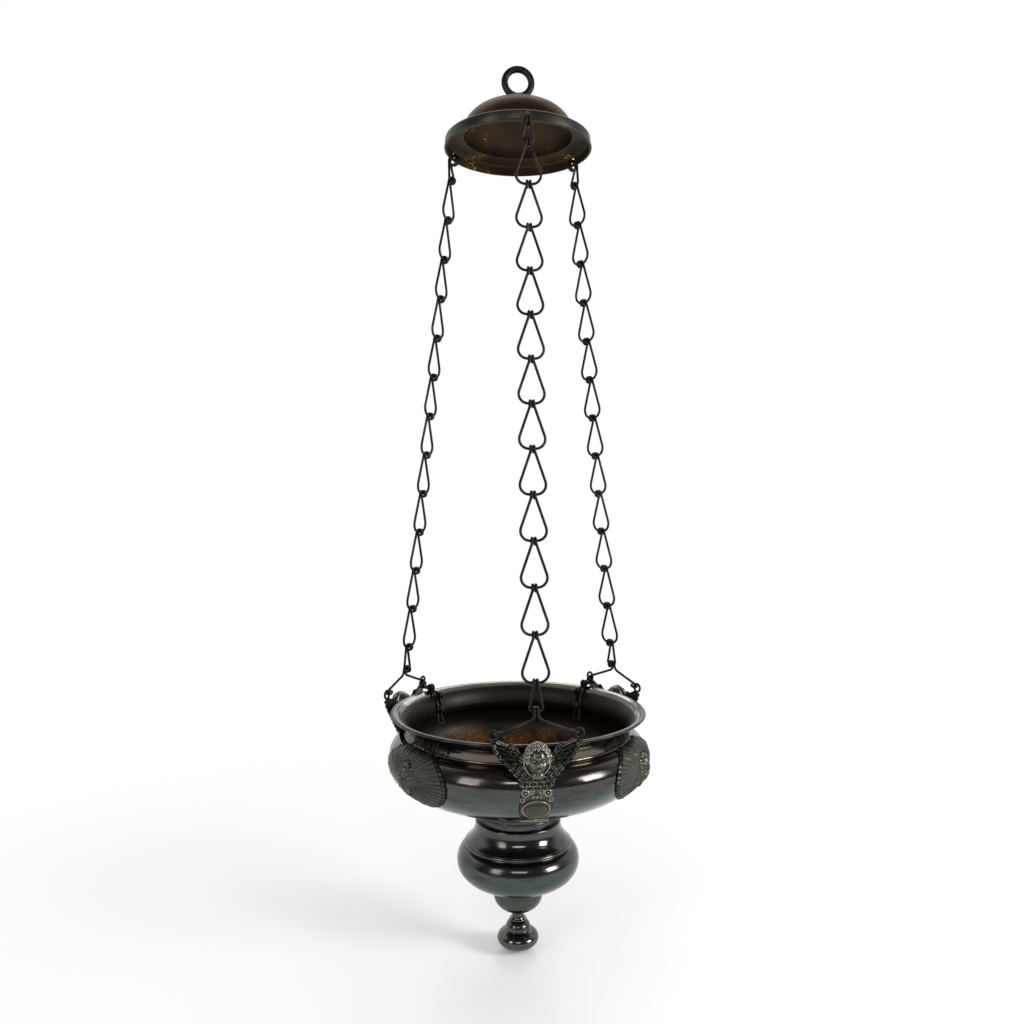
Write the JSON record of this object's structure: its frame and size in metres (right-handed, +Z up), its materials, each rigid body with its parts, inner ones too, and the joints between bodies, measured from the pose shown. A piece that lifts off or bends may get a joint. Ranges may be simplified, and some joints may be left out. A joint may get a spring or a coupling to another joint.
{
  "type": "hanging chain oil lamp",
  "caption": "Hanging oil lamp: flared metal bowl with winged-head mounts, sunburst plaques and a turned finial, hung by wire-link chains from a domed canopy and ring.",
  "frame": {"origin": "centre of the hanging ring, where a hook carries the lamp", "axes": "+Z up along the lamp's axis; -Y towards the front chain; +X to the right of someone facing the front"},
  "size_m": [0.225, 0.2334, 0.7354],
  "materials": {
    "ring_iron": "dark forged",
    "canopy_metal": "tarnished, brown patina",
    "chain_wire": "blackened wire",
    "bowl_silver": "tarnished silver plate with a green and purple bloom",
    "ornament_silver": "dull cast relief"
  },
  "bodies": {
    "ring": {"ring_bolt": "ring_iron", "ring_nut": "ring_iron"},
    "canopy": {"canopy": "canopy_metal"},
    "front_chain": {"front_hook": "chain_wire", "front_link_01": "chain_wire", "front_link_02": "chain_wire", "front_link_03": "chain_wire", "front_link_04": "chain_wire", "front_link_05": "chain_wire", "front_link_06": "chain_wire", "front_link_07": "chain_wire", "front_link_08": "chain_wire", "front_link_09": "chain_wire", "front_link_10": "chain_wire", "front_link_11": "chain_wire", "front_link_12": "chain_wire", "front_connector": "chain_wire"},
    "left_chain": {"left_hook": "chain_wire", "left_link_01": "chain_wire", "left_link_02": "chain_wire", "left_link_03": "chain_wire", "left_link_04": "chain_wire", "left_link_05": "chain_wire", "left_link_06": "chain_wire", "left_link_07": "chain_wire", "left_link_08": "chain_wire", "left_link_09": "chain_wire", "left_link_10": "chain_wire", "left_link_11": "chain_wire", "left_link_12": "chain_wire", "left_connector": "chain_wire"},
    "right_chain": {"right_hook": "chain_wire", "right_link_01": "chain_wire", "right_link_02": "chain_wire", "right_link_03": "chain_wire", "right_link_04": "chain_wire", "right_link_05": "chain_wire", "right_link_06": "chain_wire", "right_link_07": "chain_wire", "right_link_08": "chain_wire", "right_link_09": "chain_wire", "right_link_10": "chain_wire", "right_link_11": "chain_wire", "right_link_12": "chain_wire", "right_connector": "chain_wire"},
    "bowl": {"bowl": "bowl_silver", "bulb": "bowl_silver", "drop_cup": "bowl_silver", "finial": "bowl_silver", "tie_rod": "ring_iron", "tie_nut": "ring_iron", "front_bridle": "chain_wire", "left_bridle": "chain_wire", "right_bridle": "chain_wire", "front_winged_head": "ornament_silver", "left_winged_head": "ornament_silver", "right_winged_head": "ornament_silver", "left_front_sunburst": "ornament_silver", "right_front_sunburst": "ornament_silver", "back_sunburst": "ornament_silver"}
  },
  "joints": [
    {"name": "canopy_swivel", "type": "hinge", "parent": "ring", "child": "canopy", "pos_m": [0, 0, -0.0179], "axis": [0, 0, 1], "continuous": true},
    {"name": "bowl_turn", "type": "hinge", "parent": "canopy", "child": "bowl", "pos_m": [0, 0, -0.49751], "axis": [0, 0, 1], "range_deg": [-10, 10], "stiffness_Nm_per_rad": 0.33},
    {"name": "front_chain_swing", "type": "hinge", "parent": "canopy", "child": "front_chain", "pos_m": [0, -0.0601, -0.0561], "axis": [0, -0.1349, 0.9909], "range_deg": [-10.2, 10.2]},
    {"name": "left_chain_swing", "type": "hinge", "parent": "canopy", "child": "left_chain", "pos_m": [-0.05205, 0.03005, -0.0561], "axis": [-0.1168, 0.0675, 0.9909], "range_deg": [-10.2, 10.2]},
    {"name": "right_chain_swing", "type": "hinge", "parent": "canopy", "child": "right_chain", "pos_m": [0.05205, 0.03005, -0.0561], "axis": [0.1168, 0.0675, 0.9909], "range_deg": [-10.2, 10.2]}
  ],
  "couplings": [
    {"joint": "front_chain_swing", "follows": "bowl_turn", "ratio": 1.0092},
    {"joint": "left_chain_swing", "follows": "bowl_turn", "ratio": 1.0092},
    {"joint": "right_chain_swing", "follows": "bowl_turn", "ratio": 1.0092}
  ]
}
